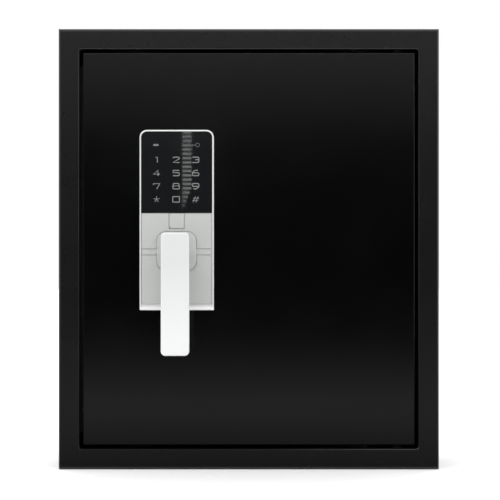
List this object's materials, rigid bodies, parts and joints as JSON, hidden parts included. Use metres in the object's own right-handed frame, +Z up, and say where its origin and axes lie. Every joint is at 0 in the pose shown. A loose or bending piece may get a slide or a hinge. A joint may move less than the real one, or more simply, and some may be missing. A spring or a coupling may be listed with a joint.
{
  "type": "wall safe",
  "caption": "Flush wall safe with a face frame, a flat hinged door, a glass keypad lock and a lever that throws sliding bolts.",
  "frame": {"origin": "middle of the opening, in the plane of the wall, on the rear face of the face frame", "axes": "+X to the right seen from the front, +Y into the wall, +Z up; the door faces -Y"},
  "size_m": [0.383, 0.155, 0.443],
  "materials": {
    "frame_paint": "fine black powder coat, semi-gloss",
    "box_paint": "fine black powder coat, satin",
    "door_paint": "fine black powder coat, semi-gloss",
    "inner_paint": "black powder coat, satin",
    "zinc_steel": "bright zinc plated",
    "bolt_chrome": "polished chrome",
    "brass": "turned",
    "die_cast_silver": "satin silver, die-cast",
    "lever_silver": "satin silver, die-cast",
    "plate_silver": "satin light grey",
    "keypad_black_glass": "gloss black, back-printed",
    "lens_white": "translucent white",
    "circuit_board": "green solder mask",
    "black_rubber": "matt",
    "black_plastic": "fine moulded grain",
    "red_plastic": "moulded",
    "cell_wrap": "plain sleeve",
    "felt": "needled felt"
  },
  "bodies": {
    "safe_body": {"front_frame": "frame_paint", "body_shell": "box_paint", "back_panel": "box_paint", "strike_plate": "box_paint", "hinge_bushes": "black_plastic", "door_stops": "inner_paint", "door_bumpers": "black_rubber", "shelf_lower": "box_paint", "shelf_upper": "box_paint", "shelf_pins": "zinc_steel", "floor_mat": "felt"},
    "door": {"door_plate": "door_paint", "hard_plate": "zinc_steel", "door_pan": "inner_paint", "rear_cover": "inner_paint", "cover_posts": "zinc_steel", "cover_screws": "zinc_steel", "hinge_block_lower": "inner_paint", "hinge_block_upper": "inner_paint", "hinge_pin_lower": "zinc_steel", "hinge_pin_upper": "zinc_steel", "dead_bar": "inner_paint", "lock_tray": "die_cast_silver", "lock_gasket": "black_rubber", "keypad_glass": "keypad_black_glass", "status_lens": "lens_white", "keypad_board": "circuit_board", "upper_plate": "plate_silver", "lower_plate": "plate_silver", "boss_insert": "plate_silver", "panel_screws": "zinc_steel", "spindle_bush": "brass", "bar_guides": "zinc_steel", "solenoid_frame": "zinc_steel", "solenoid_coil": "black_plastic", "lock_board": "circuit_board", "battery_case": "black_plastic", "battery_cells": "cell_wrap", "battery_rails": "zinc_steel", "override_cylinder": "brass"},
    "handle": {"lever_handle": "lever_silver", "lever_grub_screw": "zinc_steel", "spindle": "zinc_steel", "cam_disc": "zinc_steel", "retaining_washer": "zinc_steel", "retaining_screw": "zinc_steel"},
    "bolts": {"locking_bolts": "bolt_chrome", "bolt_screws": "zinc_steel", "bolt_bar": "zinc_steel", "drive_plate": "zinc_steel", "drive_pin": "zinc_steel"},
    "plunger": {"solenoid_plunger": "zinc_steel", "plunger_spring": "zinc_steel"},
    "key_plug": {"override_plug": "brass", "override_tail": "zinc_steel"},
    "key_cover": {"override_cover": "plate_silver"},
    "reset_key": {"reset_button": "red_plastic"},
    "battery_hatch": {"battery_door": "black_plastic"}
  },
  "joints": [
    {"name": "door_hinge", "type": "hinge", "parent": "safe_body", "child": "door", "pos_m": [0.15, 0.003, 0], "axis": [0, 0, 1], "range_deg": [0, 110]},
    {"name": "handle_turn", "type": "hinge", "parent": "door", "child": "handle", "pos_m": [-0.072, -0.022, -0.0024], "axis": [0, -1, 0], "range_deg": [0, 90]},
    {"name": "bolt_throw", "type": "slide", "parent": "door", "child": "bolts", "axis": [-1, 0, 0], "range_m": [0, 0.01401]},
    {"name": "plunger_drop", "type": "slide", "parent": "door", "child": "plunger", "axis": [0, 0, -1], "range_m": [0, 0.00701], "deforming": ["plunger_spring"]},
    {"name": "key_turn", "type": "hinge", "parent": "door", "child": "key_plug", "pos_m": [-0.072, -0.016, 0.0282], "axis": [0, -1, 0], "range_deg": [0, 90]},
    {"name": "cover_pull", "type": "slide", "parent": "door", "child": "key_cover", "axis": [0, -1, 0], "range_m": [0, 0.02]},
    {"name": "reset_press", "type": "slide", "parent": "door", "child": "reset_key", "axis": [0, -1, 0], "range_m": [0, 0.002], "stiffness_N_per_m": 150},
    {"name": "battery_slide", "type": "slide", "parent": "door", "child": "battery_hatch", "axis": [1, 0, 0], "range_m": [0, 0.045]}
  ],
  "couplings": [
    {"joint": "bolt_throw", "follows": "handle_turn", "m_per_rad": 0.0089127},
    {"joint": "plunger_drop", "follows": "handle_turn", "m_per_rad": 0.0044563}
  ]
}
